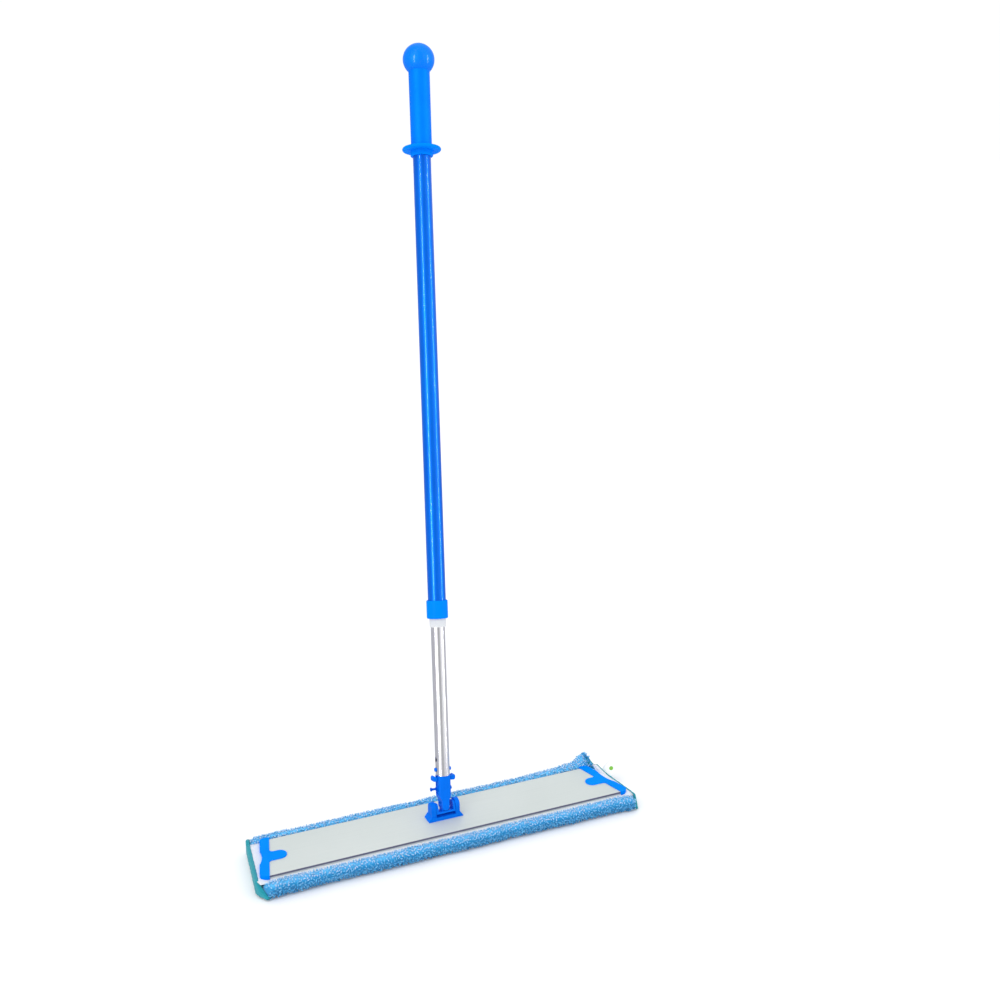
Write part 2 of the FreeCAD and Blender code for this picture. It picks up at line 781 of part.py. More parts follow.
def make_cross_pin():
    """A headed pin through the socket, with a long end on the left that a finger can hook."""
    radius = size("cross_pin_radius")
    seat = size("yoke_half_width") + size("cross_pin_proud")
    tip = size("cross_pin_left")
    bulb = size("pin_bulb_radius")
    bulb_end = size("pin_bulb_length") - tip
    washer = size("washer_radius")
    washer_out = -seat - size("washer_thickness")
    head = size("pin_head_radius")
    head_end = seat + size("pin_head_height")
    profile = [(0, -tip), (bulb, -tip), (bulb, bulb_end), (radius, bulb_end + size("pin_bulb_taper"))]
    profile += [(radius, washer_out), (washer, washer_out), (washer, -seat), (radius, -seat)]
    profile += [(radius, seat), (head, seat), (head, head_end)]
    profile += [(head - size("sink"), head_end + size("sink")), (0, head_end + size("sink"))]
    body = turned("cross_pin", profile)
    lying = FreeCAD.Rotation(FreeCAD.Vector(0, 1, 0), 90)
    place = FreeCAD.Placement(FreeCAD.Vector(0, 0, SIZES["cross_pin_height"]), lying)
    return finished(body, handle_place * place)


def make_lever_pins():
    """The two small pins that the release levers turn on."""
    length = size("lever_pin_length")
    pins = []
    for side, name in ((-1, "left"), (1, "right")):
        base = (size("lever_pivot_out") * side, length / 2, size("lever_pivot_height"))
        pins.append(cylinder("lever_pin_" + name, size("lever_pin_radius"), length, base, (0, -1, 0)))
    return finished(compound("lever_pins", pins), handle_place)


def make_release_lever(label, place):
    """An arm inside the stem with a button for the tube's hole and a thumb wing outside."""
    body = new_body(label)
    inside = size("lever_inside")
    outside = size("lever_outside")
    low = size("wing_low")
    root_high = size("wing_root_high")
    high = size("wing_high")
    root = size("wing_root")
    reach = size("wing_reach")
    curve = size("wing_round")
    heel = size("lever_heel")
    arm = [(inside, size("lever_bottom")), (heel, size("lever_bottom")), (heel, low), (root, low)]
    arm += [(root, root_high), (outside, root_high), (outside, size("lever_top"))]
    arm += [(inside, size("lever_top"))]
    pad(body, outline(body, label + "_arm", "XZ_Plane", arm), size("lever_thickness"), True)
    wing = [(root, low), (reach - curve, low), (reach, low + curve, curve), (reach, high - curve)]
    wing += [(reach - curve, high, curve), (root, root_high)]
    pad(body, outline(body, label + "_wing", "XZ_Plane", wing), size("wing_width"), True)
    seat = [(size("lever_pivot_out"), size("lever_pivot_height"))]
    clear = size("lever_pin_radius") + size("running_gap")
    pocket(body, rings(body, label + "_bore", "XZ_Plane", seat, clear), size("lever_thickness") * 2)
    seat_at = [(0, size("spring_height"))]
    spring_seat = rings(body, label + "_seat", "YZ_Plane", seat_at, size("spring_seat_radius"), inside)
    pocket(body, spring_seat, size("spring_seat_depth") * 2)
    button_low = outside - size("sink")
    button_at = [(0, size("button_height"))]
    round_end = rings(body, label + "_button", "YZ_Plane", button_at, size("button_radius"), button_low)
    pad(body, round_end, size("button_reach") - button_low)

    def button_rim(edge):
        box = edge.BoundBox
        return abs(box.XMin - SIZES["button_reach"]) < 1e-4

    rounded(body, size("button_round"), button_rim)
    return finished(body, place)


def make_lever_spring():
    """The spring that pushes the two levers apart, at its length when they are pressed together."""
    coil = doc.addObject("Part::Helix", "spring_path")
    length = size("spring_length") - size("spring_wire") * 2
    bind(coil, "Pitch", size("spring_pitch"))
    bind(coil, "Height", length)
    bind(coil, "Radius", size("spring_radius"))
    wire = doc.addObject("Part::Circle", "spring_wire_round")
    bind(wire, "Radius", size("spring_wire"))
    upright = FreeCAD.Rotation(FreeCAD.Vector(1, 0, 0), 90)
    wire.Placement = FreeCAD.Placement(FreeCAD.Vector(SIZES["spring_radius"], 0, 0), upright)
    doc.recompute()
    spring = doc.addObject("Part::Sweep", "lever_spring")
    spring.Label = "lever_spring"
    spring.Sections = [wire]
    spring.Spine = (coil, [])
    spring.Solid = True
    spring.Frenet = True
    lying = FreeCAD.Rotation(FreeCAD.Vector(0, 1, 0), 90)
    start = FreeCAD.Vector(-length.number / 2, 0, SIZES["spring_height"])
    return finished(spring, handle_place * FreeCAD.Placement(start, lying))


# ---------------------------------------------------------------- tubes and twist clamp

def make_tube(label, radius, low, length, holes=()):
    """A straight tube along the handle, with round holes through both of its sides."""
    outside = cylinder(label + "_outside", radius, length, (0, 0, low))
    tools = [cylinder(label + "_bore", radius - size("tube_wall"), length, (0, 0, low))]
    for number, height in enumerate(holes):
        start = (-radius * 2, 0, height)
        name = "%s_hole%d" % (label, number)
        hole = cylinder(name, size("tube_hole_radius"), radius * 4, start, (1, 0, 0))
        tools.append(hole)
    piece = boolean("Part::Cut", label, outside, tools)
    piece.Label = label
    return finished(piece, handle_place)


def make_guide_bush(tube_top):
    """A plastic bush on the lower tube's top end that guides it in the upper tube."""
    inside = size("lower_tube_radius")
    outside = size("upper_tube_radius") - size("tube_wall") - size("running_gap")
    low = tube_top - size("bush_skirt")
    high = tube_top + size("bush_cap")
    bevel = size("bush_round")
    profile = [(inside, low), (outside, low), (outside, high - bevel), (outside - bevel, high), (0, high)]
    profile += [(0, tube_top), (inside, tube_top)]
    return finished(turned("guide_bush", profile), handle_place)


def make_clamp_collet():
    """A slit sleeve fixed in the upper tube's end, which the nut closes on the lower tube."""
    inside = size("lower_tube_radius") + size("running_gap")
    bore = size("upper_tube_radius") - size("tube_wall")
    low = size("collet_low")
    step = size("upper_tube_low")
    high = size("collet_high")
    profile = [(inside, low), (size("collet_radius"), low), (size("collet_radius"), step)]
    profile += [(bore, step), (bore, high), (inside, high)]
    body = turned("clamp_collet", profile)
    slit = size("collet_slit") / 2
    start = low - size("sink")
    stop = high - size("collet_bridge")
    gap = [(-slit, start), (slit, start), (slit, stop), (-slit, stop)]
    pocket(body, outline(body, "collet_slit_front", "XZ_Plane", gap, -inside), inside)
    return finished(body, handle_place)


def make_clamp_nut():
    """The twist collar, which turns on the ferrule."""
    lip = size("collet_radius") + size("running_gap")
    bore = size("ferrule_radius") + size("running_gap")
    low = size("nut_low")
    high = size("nut_high")
    outside = size("nut_radius")
    bevel = size("nut_bevel")
    profile = [(lip, low), (outside - bevel, low), (outside, low + bevel), (outside, high - bevel)]
    profile += [(outside - bevel, high), (bore, high), (bore, size("nut_lip_high")), (lip, size("nut_lip_high"))]
    return finished(turned("clamp_nut", profile), handle_place)


def make_clamp_ferrule():
    """The threaded ring bonded round the upper tube's end."""
    profile = ring_profile(size("upper_tube_radius"), size("ferrule_radius"), size("ferrule_low"),
                           size("ferrule_high"))
    return finished(turned("clamp_ferrule", profile), handle_place)


# ---------------------------------------------------------------- guard, grip and ball

def make_hand_guard():
    """A disc with a short hub under it, below the grip."""
    inside = size("upper_tube_radius")
    low = size("guard_low")
    disc = size("guard_disc_low")
    thick = size("guard_disc_thickness")
    rim = size("guard_radius") - thick / 2
    hub = size("guard_hub_radius")
    bevel = size("nut_bevel")
    profile = [(inside, low), (hub - bevel, low), (hub, low + bevel), (hub, disc), (rim, disc)]
    profile += [(rim, disc + thick, thick / 2), (inside, disc + thick)]
    return finished(turned("hand_guard", profile), handle_place)


def make_grip():
    """The sleeve that the upper hand holds."""
    low = size("guard_disc_low") + size("guard_disc_thickness")
    high = size("ball_join")
    inside = size("upper_tube_radius")
    profile = [(inside, low), (size("grip_low_radius"), low), (size("grip_high_radius"), high)]
    profile += [(inside, high)]
    return finished(turned("grip", profile), handle_place)


def sphere(label, radius, centre, flat_at=None):
    """A ball on the handle axis, cut flat at one height if that is given."""
    ball = doc.addObject("Part::Sphere", label)
    bind(ball, "Radius", radius)
    if flat_at is not None:
        ball.Angle1 = math.degrees(math.asin((flat_at - centre).number / radius.number))
    bind(ball, "Placement.Base.z", centre)
    return ball


def boolean(kind, label, first, others):
    """Join or cut a row of solids, one after the other."""
    piece = first
    for number, other in enumerate(others, start=1):
        step = doc.addObject(kind, label if number == len(others) else "%s_%d" % (label, number))
        step.Base = piece
        step.Tool = other
        piece = step
    return piece


def make_ball_knob():
    """A hollow ball with a plug that fits the top of the upper tube."""
    join = size("ball_join")
    centre = size("ball_centre")
    bore = size("ball_plug_bore")
    low = size("ball_plug_low")
    shoulder = size("upper_tube_high")
    hollow = size("ball_radius") - size("ball_wall")
    ball = sphere("ball_outside", size("ball_radius"), centre, join)
    neck = cylinder("ball_shoulder", size("ball_shoulder_radius"), centre - shoulder, (0, 0, shoulder))
    plug = cylinder("ball_plug", size("upper_tube_radius") - size("tube_wall"), centre - low, (0, 0, low))
    solid = boolean("Part::Fuse", "ball_solid", ball, [neck, plug])
    inside = sphere("ball_inside", hollow, centre)
    channel = cylinder("ball_channel", bore, centre - low, (0, 0, low))
    knob = boolean("Part::Cut", "ball_knob", solid, [inside, channel])
    knob.Label = "ball_knob"
    return finished(knob, handle_place)


# ---------------------------------------------------------------- build, check and write

def build():
    make_pad_pile()
    core_low = pad_top - size("backing_thickness") - size("core_thickness")
    make_pad_layer("pad_core", core_low, size("core_thickness"))
    make_pad_layer("pad_backing", pad_top - size("backing_thickness"), size("backing_thickness"))
    make_end_binding("end_binding_left", -1)
    make_end_binding("end_binding_right", 1)
    make_care_label()
    plate = make_plate()
    make_hook_strip("hook_strip_front", -1)
    make_hook_strip("hook_strip_rear", 1)
    make_end_cap("end_cap_left", -1, plate)
    make_end_cap("end_cap_right", 1, plate)
    make_rivets()
    make_joint_bracket()
    make_tilt_pins()
    make_cross_block()
    make_side_pin()
    make_socket_yoke()
    make_cross_pin()
    make_lever_pins()
    make_release_lever("release_lever_right", handle_place)
    make_release_lever("release_lever_left", handle_place * half_turn)
    make_lever_spring()
    tube_low = size("yoke_top")
    holes = [size("button_height"), size("spare_hole_height")]
    make_tube("lower_tube", size("lower_tube_radius"), tube_low, size("lower_tube_length"), holes)
    make_guide_bush(tube_low + size("lower_tube_length"))
    upper_length = size("upper_tube_high") - size("upper_tube_low")
    make_tube("upper_tube", size("upper_tube_radius"), size("upper_tube_low"), upper_length)
    make_clamp_collet()
    make_clamp_ferrule()
    make_clamp_nut()
    make_hand_guard()
    make_grip()
    make_ball_knob()


def check():
    """Stop if any object failed or any sub-part has no valid shape."""
    doc.recompute()
    for thing in doc.Objects:
        if "Invalid" in thing.State or "Error" in thing.State:
            raise RuntimeError("%s failed: %s" % (thing.Label, thing.State))
    for thing in sub_parts:
        if thing.Shape.isNull() or not thing.Shape.isValid():
            raise RuntimeError(thing.Label + " has no valid shape")


def write():
    os.makedirs("parts", exist_ok=True)
    for thing in sub_parts:
        thing.Shape.exportStep("parts/%s.step" % thing.Label)
        box = thing.Shape.BoundBox
        print("%-20s %2d solids %10.1f mm3  z %.1f to %.1f" % (
            thing.Label, len(thing.Shape.Solids), thing.Shape.Volume, box.ZMin, box.ZMax))


build()
check()
write()
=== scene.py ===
import itertools
import math

import bpy
import numpy as np
from mathutils import Euler, Matrix, Vector


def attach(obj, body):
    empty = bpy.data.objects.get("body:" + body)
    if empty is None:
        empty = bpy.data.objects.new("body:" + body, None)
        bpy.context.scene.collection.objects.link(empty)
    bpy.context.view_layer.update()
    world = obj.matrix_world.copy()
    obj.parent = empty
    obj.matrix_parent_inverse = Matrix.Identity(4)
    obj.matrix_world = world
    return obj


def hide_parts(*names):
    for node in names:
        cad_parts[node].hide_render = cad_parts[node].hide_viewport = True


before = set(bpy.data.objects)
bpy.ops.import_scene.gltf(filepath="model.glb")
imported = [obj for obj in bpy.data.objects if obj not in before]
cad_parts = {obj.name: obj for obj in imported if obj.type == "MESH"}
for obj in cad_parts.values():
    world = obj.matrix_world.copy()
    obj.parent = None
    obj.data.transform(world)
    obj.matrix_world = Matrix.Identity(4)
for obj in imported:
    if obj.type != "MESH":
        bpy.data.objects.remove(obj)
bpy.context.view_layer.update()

MM = 0.001
SEED = 609

# The handle leans back and to the right about the joint's centre.
PIVOT = Vector((0, 0, 46)) * MM
LEAN_BACK = math.radians(15.3)
LEAN_SIDE = math.radians(4.75)

# Pad, in millimetres: its outline, the white backing on top and the channels underneath.
HALF_DEPTH = 70.0
FRONT_HALF = 312.0
REAR_HALF = 296.0
BACKING_FRONT = -55.5
BACKING_REAR = 51.0
BACKING_TOP = 21.9
BACKING_TUCK = 1.5
BACKING_THICKNESS = 0.9
CHANNELS = (-23.0, 23.0)
MID_HEIGHT = 11.0
TAPE_LOW = 2.6

# Corners of the pad: the front ones are cut back, the left one further, and the rear ones are rounded.
LEFT_CUT = 13.0
RIGHT_CUT = 3.0
CUT_START = -46.0
CUT_RUN = 32.0
CUT_GAIN = 1.25
REAR_ROUND = 3.0
REAR_ROUND_START = 58.0
REAR_ROUND_RUN = 14.0

# The rear right corner curls up; the curl grows along the head and spreads forward near its end.
CURL_FROM = 150.0
CURL_RUN = 140.0
CURL_MOST = 1.1
CURL_HEIGHT = 21.0
CURL_INNER = 51.0
CURL_OUTER = 72.0
CURL_SPREAD = 36.0
CURL_SPREAD_FROM = 287.0
CURL_SPREAD_RUN = 7.0
CURL_DRAWN_BACK = 0.6

# Yarn loops, in millimetres; the underside has fewer of them.
LOOP_GAP = 2.9
LOOP_GAP_UNDER = 4.6
LOOP_TRIES = 90000
UNDERSIDE = -0.7


# ---------------------------------------------------------------- small helpers

def smooth(t):
    """0 below 0, 1 above 1 and a soft step between; works on arrays."""
    t = np.clip(t, 0.0, 1.0)
    return t * t * (3 - 2 * t)


def end_x(y, side=0):
    """Half-length of the pad at depth y; the left front corner is cut away, the others are rounded."""
    middle = (FRONT_HALF + REAR_HALF) / 2
    straight = middle - (FRONT_HALF - REAR_HALF) * y / (2 * HALF_DEPTH)
    cut = np.where(np.asarray(side) < 0, LEFT_CUT, RIGHT_CUT)
    front_cut = cut * smooth((CUT_START - y) / CUT_RUN) * CUT_GAIN
    return straight - front_cut - REAR_ROUND * smooth((y - REAR_ROUND_START) / REAR_ROUND_RUN)


def flare(x, y):
    """How far the rear right corner curls up."""
    along = np.clip((x - CURL_FROM) / CURL_RUN, 0, CURL_MOST)
    start = CURL_INNER - CURL_SPREAD * smooth((x - CURL_SPREAD_FROM) / CURL_SPREAD_RUN)
    return CURL_HEIGHT * along ** 2 * smooth((y - start) / (CURL_OUTER - start))


def curled(x, y):
    """How far the curled corner is drawn back toward the middle."""
    return CURL_DRAWN_BACK * flare(x, y) * smooth((x - 200.0) / 90.0)


def share_lifted(z):
    """How much of the curl a point takes: none at the floor, all of it from mid-height up."""
    return smooth((z - 1.0) / 9.0)


def backing_rear(x):
    """Rear edge of the white backing; at the curled corner the pile comes further forward."""
    narrowing = 13.0
    return BACKING_REAR - narrowing * smooth((x - 286.0) / 9.0)


def new_object(name, verts, faces):
    """A smooth-shaded mesh object; verts are in metres."""
    mesh = bpy.data.meshes.new(name)
    mesh.from_pydata([tuple(v) for v in verts], [], [tuple(f) for f in faces])
    mesh.update()
    obj = bpy.data.objects.new(name, mesh)
    bpy.context.scene.collection.objects.link(obj)
    mesh.polygons.foreach_set("use_smooth", [True] * len(mesh.polygons))
    return obj


def tube_faces(spans, size, flip):
    """Quads between neighbouring rings of size points each."""
    faces = []
    for i in range(spans):
        for j in range(size):
            k = (j + 1) % size
            quad = (i * size + j, i * size + k, (i + 1) * size + k, (i + 1) * size + j)
            faces.append(tuple(reversed(quad)) if flip else quad)
    return faces


def double_sheet(name, outer, inner, point):
    """A thin closed sheet; point(i, j, layer) is a place on its upper (0) or lower (1) face, in mm."""
    verts, faces = [], []
    for layer in (0, 1):
        for i in range(outer + 1):
            for j in range(inner + 1):
                x, y, z = point(i, j, layer)
                verts.append((x * MM, y * MM, z * MM))
    row = inner + 1
    stride = (outer + 1) * row
    for i in range(outer):
        for j in range(inner):
            a = i * row + j
            quad = (a, a + row, a + row + 1, a + 1)
            faces.append(quad)
            faces.append(tuple(stride + v for v in reversed(quad)))
    rim = [i * row for i in range(outer + 1)]
    rim += [outer * row + j for j in range(1, inner + 1)]
    rim += [i * row + inner for i in range(outer - 1, -1, -1)]
    rim += [j for j in range(inner - 1, 0, -1)]
    for k, v in enumerate(rim):
        w = rim[(k + 1) % len(rim)]
        faces.append((w, v, stride + v, stride + w))
    return new_object(name, verts, faces)


def coords(obj):
    """The mesh's points as an array, in metres."""
    flat = np.zeros(len(obj.data.vertices) * 3)
    obj.data.vertices.foreach_get("co", flat)
    return flat.reshape(-1, 3)


def set_coords(obj, points):
    obj.data.vertices.foreach_set("co", np.asarray(points, dtype=float).reshape(-1))
    obj.data.update()


def apply_modifiers(obj):
    graph = bpy.context.evaluated_depsgraph_get()
    mesh = bpy.data.meshes.new_from_object(obj.evaluated_get(graph))
    obj.modifiers.clear()
    obj.data = mesh


def give(obj, material):
    """One material on the whole object."""
    obj.data.materials.clear()
    obj.data.materials.append(material)


# ---------------------------------------------------------------- materials

class Tree:
    """A node tree with short ways to add and join nodes."""

    def __init__(self, tree):
        self.tree = tree

    def add(self, kind, **settings):
        node = self.tree.nodes.new(kind)
        for key, value in settings.items():
            setattr(node, key, value)
        return node

    def join(self, source, target):
        self.tree.links.new(source, target)

    def mix(self, factor, first, second):
        """Colour mix; each of the three is a socket or a plain value."""
        node = self.add("ShaderNodeMix", data_type="RGBA")
        inputs = (node.inputs["Factor"], node.inputs[6], node.inputs[7])
        for socket, value in zip(inputs, (factor, first, second)):
            if isinstance(value, bpy.types.NodeSocket):
                self.join(value, socket)
            else:
                socket.default_value = value
        return node.outputs[2]

    def ranged(self, value, low, high, from_low=0.0, from_high=1.0):
        """The value moved from its own range to low and high, and kept between them."""
        node = self.add("ShaderNodeMapRange")
        self.join(value, node.inputs["Value"])
        limits = {"From Min": from_low, "From Max": from_high, "To Min": low, "To Max": high}
        for key, number in limits.items():
            node.inputs[key].default_value = number
        return node.outputs["Result"]


class Nodes(Tree):
    """A material's node tree around its Principled shader."""

    def __init__(self, name):
        self.material = bpy.data.materials.new(name)
        self.material.use_nodes = True
        super().__init__(self.material.node_tree)
        self.shader = self.tree.nodes["Principled BSDF"]
        coordinates = self.add("ShaderNodeTexCoord")
        self.place = coordinates.outputs["Object"]
        self.normal = coordinates.outputs["Normal"]

    def put(self, socket, value):
        self.shader.inputs[socket].default_value = value

    def stretched(self, scale, turn=None):
        """Object coordinates in the frame of the handle if turn is given, scaled by axis."""
        source = self.place
        if turn is not None:
            frame_of = self.add("ShaderNodeMapping", vector_type="TEXTURE")
            frame_of.inputs["Location"].default_value = PIVOT
            frame_of.inputs["Rotation"].default_value = turn
            self.join(source, frame_of.inputs["Vector"])
            source = frame_of.outputs["Vector"]
        scaled = self.add("ShaderNodeMapping")
        scaled.inputs["Scale"].default_value = scale
        self.join(source, scaled.inputs["Vector"])
        return scaled.outputs["Vector"]

    def noise(self, scale, detail=3.0, vector=None, rough=0.5):
        node = self.add("ShaderNodeTexNoise")
        node.inputs["Scale"].default_value = scale
        node.inputs["Detail"].default_value = detail
        node.inputs["Roughness"].default_value = rough
        self.join(vector or self.place, node.inputs["Vector"])
        return node.outputs["Fac"]

    def bump(self, height, strength, distance):
        node = self.add("ShaderNodeBump")
        node.inputs["Strength"].default_value = strength
        node.inputs["Distance"].default_value = distance
        self.join(height, node.inputs["Height"])
        self.join(node.outputs["Normal"], self.shader.inputs["Normal"])

    def colour(self, socket):
        self.join(socket, self.shader.inputs["Base Color"])

    def roughness(self, socket):
        self.join(socket, self.shader.inputs["Roughness"])


def rgb(red, green, blue):
    """Display colour to the linear values that the shaders take."""
    def linear(c):
        c /= 255
        return c / 12.92 if c <= 0.04045 else ((c + 0.055) / 1.055) ** 2.4

    return (linear(red), linear(green), linear(blue), 1.0)


def plastic(name, light, dark, rough=0.34, coat=0.0, grain=1.0, shine=1.12, metal=0.0):
    """Moulded plastic: faint flow marks, a fine grain and uneven gloss."""
    n = Nodes(name)
    flow = n.noise(28.0, 2.0)
    n.colour(n.mix(n.ranged(flow, 0.0, 1.0, 0.35, 0.7), light, dark))
    scuffs = n.noise(160.0, 6.0, rough=0.7)
    n.roughness(n.ranged(scuffs, rough - 0.06, rough + 0.12, 0.3, 0.75))
    n.bump(n.noise(1500.0, 2.0), 0.06 * grain, 0.0002)
    n.put("Coat Weight", coat)
    n.put("Coat Roughness", 0.12)
    n.put("IOR", shine)
    n.put("Metallic", metal)
    return n.material


def drawn_metal(name, light, dark, rough, turn=None, scale=(1, 1, 1), coat=0.0, metallic=1.0):
    """Extruded aluminium with fine lines along its length."""
    n = Nodes(name)
    lines = n.noise(900.0, 3.0, n.stretched(scale, turn), 0.6)
    cloud = n.noise(9.0, 3.0)
    base = n.mix(n.ranged(cloud, 0.0, 1.0, 0.35, 0.65), light, dark)
    n.colour(n.mix(n.ranged(lines, 0.0, 0.12, 0.35, 0.7), base, dark))
    n.roughness(n.ranged(lines, rough - 0.04, rough + 0.08, 0.3, 0.7))
    n.bump(lines, 0.04, 0.0003)
    n.put("Metallic", metallic)
    n.put("Coat Weight", coat)
    n.put("Coat Roughness", 0.08)
    if metallic < 1:
        n.put("IOR", 1.1)
        n.put("Coat IOR", 1.32)
    return n.material


def small_steel(name):
    """Zinc-plated steel of the small pins, rivets and spring."""
    n = Nodes(name)
    spots = n.noise(700.0, 4.0)
    n.colour(n.mix(n.ranged(spots, 0.0, 1.0, 0.3, 0.7), rgb(205, 206, 210), rgb(168, 170, 176)))
    n.roughness(n.ranged(spots, 0.22, 0.4, 0.3, 0.7))
    n.bump(spots, 0.05, 0.0002)
    n.put("Metallic", 1.0)
    return n.material


def pile_material():
    """Loop yarn: the attribute runs from the dark blue of painted shade at the roots to the pale blue of
    painted light on the tips and crests, with each loop's random tone added.
    """
    n = Nodes("pile_yarn")
    tone_and_painted_light = n.add("ShaderNodeAttribute", attribute_name="tone_and_painted_light").outputs["Fac"]
    ramp = n.add("ShaderNodeValToRGB")
    stops = ramp.color_ramp.elements
    stops[0].position = 0.0
    stops[0].color = rgb(20, 118, 176)
    stops[1].position = 1.0
    stops[1].color = rgb(208, 226, 252)
    for position, tone in ((0.3, rgb(50, 162, 220)), (0.62, rgb(106, 198, 246))):
        stops.new(position).color = tone
    n.join(tone_and_painted_light, ramp.inputs["Fac"])
    fibres = n.noise(2600.0, 3.0)
    n.colour(n.mix(n.ranged(fibres, 0.0, 0.25, 0.35, 0.7), ramp.outputs["Color"], rgb(34, 138, 198)))
    n.roughness(n.ranged(fibres, 0.75, 0.95))
    n.bump(fibres, 0.35, 0.0004)
    n.put("Sheen Weight", 0.5)
    n.put("Sheen Roughness", 0.45)
    n.put("Specular IOR Level", 0.25)
    return n.material


def cloth(name, light, dark, weave_scale, sheen=0.3, depth=0.0005):
    """Woven or knitted cloth: two crossing waves and a soft fuzz."""
    n = Nodes(name)
    heights = []
    for direction in ("X", "Y"):
        wave = n.add("ShaderNodeTexWave", wave_type="BANDS", bands_direction=direction)
        wave.inputs["Scale"].default_value = weave_scale
        wave.inputs["Distortion"].default_value = 1.2
        n.join(n.place, wave.inputs["Vector"])
        heights.append(wave.outputs["Fac"])
    weave = n.add("ShaderNodeMath", operation="ADD")
    n.join(heights[0], weave.inputs[0])
    n.join(heights[1], weave.inputs[1])
    fuzz = n.noise(900.0, 4.0)
    mixed = n.add("ShaderNodeMath", operation="MULTIPLY_ADD")
    n.join(fuzz, mixed.inputs[0])
    mixed.inputs[1].default_value = 1.6
    n.join(weave.outputs[0], mixed.inputs[2])
    n.colour(n.mix(n.ranged(mixed.outputs[0], 0.0, 1.0, 0.5, 2.6), dark, light))
    n.roughness(n.ranged(fuzz, 0.8, 0.95))
    n.bump(mixed.outputs[0], 0.5, depth)
    n.put("Sheen Weight", sheen)
    n.put("Specular IOR Level", 0.25)
    return n.material


def hook_material():
    """Stiff little hooks on a tape."""
    n = Nodes("hook_tape")
    cells = n.add("ShaderNodeTexVoronoi", feature="F1")
    cells.inputs["Scale"].default_value = 700.0
    n.join(n.place, cells.inputs["Vector"])
    dots = cells.outputs["Distance"]
    n.colour(n.mix(n.ranged(dots, 0.0, 1.0, 0.1, 0.6), rgb(236, 238, 240), rgb(196, 200, 205)))
    n.roughness(n.ranged(dots, 0.4, 0.6))
    n.bump(n.ranged(dots, 1.0, 0.0), 0.6, 0.0012)
    return n.material


def plate_material():
    """Satin aluminium, drawn along the head, with painted shade on its upright lips."""
    n = Nodes("plate_satin")
    lines = n.noise(700.0, 3.0, n.stretched((0.012, 1, 1)), 0.6)
    cloud = n.noise(5.0, 2.0)
    top = n.mix(n.ranged(cloud, 0.0, 1.0, 0.3, 0.7), rgb(207, 213, 210), rgb(199, 206, 203))
    top = n.mix(n.ranged(lines, 0.0, 0.1, 0.35, 0.7), top, rgb(180, 186, 184))
    # Painted shade: the upright faces of the lips take a dark grey-violet that stands in for their
    # shade.
    split = n.add("ShaderNodeSeparateXYZ")
    n.join(n.normal, split.inputs[0])
    upright = n.add("ShaderNodeMath", operation="ABSOLUTE")
    n.join(split.outputs["Y"], upright.inputs[0])
    height = n.add("ShaderNodeSeparateXYZ")
    n.join(n.place, height.inputs[0])
    lip_painted_shade = n.add("ShaderNodeMath", operation="MULTIPLY")
    n.join(n.ranged(upright.outputs[0], 0.0, 1.0, 0.4, 0.6), lip_painted_shade.inputs[0])
    n.join(n.ranged(height.outputs["Z"], 0.0, 1.0, 0.0235, 0.0242), lip_painted_shade.inputs[1])
    n.colour(n.mix(lip_painted_shade.outputs[0], top, rgb(104, 102, 124)))
    n.roughness(n.ranged(lines, 0.5, 0.62, 0.3, 0.7))
    n.bump(lines, 0.03, 0.0002)
    n.put("Metallic", 0.22)
    n.put("Specular IOR Level", 0.25)
    return n.material


HANDLE_TURN = (Matrix.Rotation(-LEAN_BACK, 3, "X") @ Matrix.Rotation(LEAN_SIDE, 3, "Y")).to_euler()


def finish_cad_nodes():
    """Give every hard node its material."""
    blue = plastic("blue_plastic", rgb(0, 136, 248), rgb(0, 130, 244), 0.45, shine=1.06)
    # Painted shade: the joint's blue is a darker copy of the same plastic, standing in for the shade it
    # sits in.
    blue_joint_painted_shade = plastic("blue_joint_painted_shade", rgb(0, 112, 232), rgb(0, 104, 222), 0.4, shine=1.12)
    blue_pin = plastic("blue_pin", rgb(0, 92, 214), rgb(0, 82, 200), 0.42)
    grip = plastic("blue_grip", rgb(0, 126, 246), rgb(0, 122, 242), 0.55,
                   grain=0.15, shine=1.1, metal=0.3)
    ball = plastic("blue_ball", rgb(0, 128, 248), rgb(0, 124, 244), 0.5,
                   coat=0.2, grain=0.0, shine=1.1, metal=0.2)
    pale = plastic("pale_plastic", rgb(225, 227, 228), rgb(212, 214, 216), 0.4)
    steel = small_steel("pin_steel")
    silver = drawn_metal("silver_tube", rgb(236, 236, 240), rgb(222, 222, 228), 0.2,
                         HANDLE_TURN, (1, 1, 0.01))
    coated = drawn_metal("blue_tube", rgb(0, 108, 226), rgb(0, 100, 216), 0.3,
                         HANDLE_TURN, (1, 1, 0.02), coat=0.4, metallic=0.35)
    looks = {
        blue: ("end_cap_left", "end_cap_right", "clamp_nut", "hand_guard"),
        blue_joint_painted_shade: ("joint_bracket", "cross_block", "socket_yoke", "release_lever_left",
                     "release_lever_right", "tilt_pins", "side_pin"),
        grip: ("grip",),
        ball: ("ball_knob",),
        pale: ("guide_bush", "clamp_ferrule", "clamp_collet"),
        steel: ("lever_pins", "bracket_rivets", "lever_spring"),
        blue_pin: ("cross_pin",),
        silver: ("lower_tube",),
        coated: ("upper_tube",),
        plate_material(): ("plate",),
        hook_material(): ("hook_strip_front", "hook_strip_rear"),
    }
    for material, names in looks.items():
        for name in names:
            give(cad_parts[name], material)


# ---------------------------------------------------------------- pad

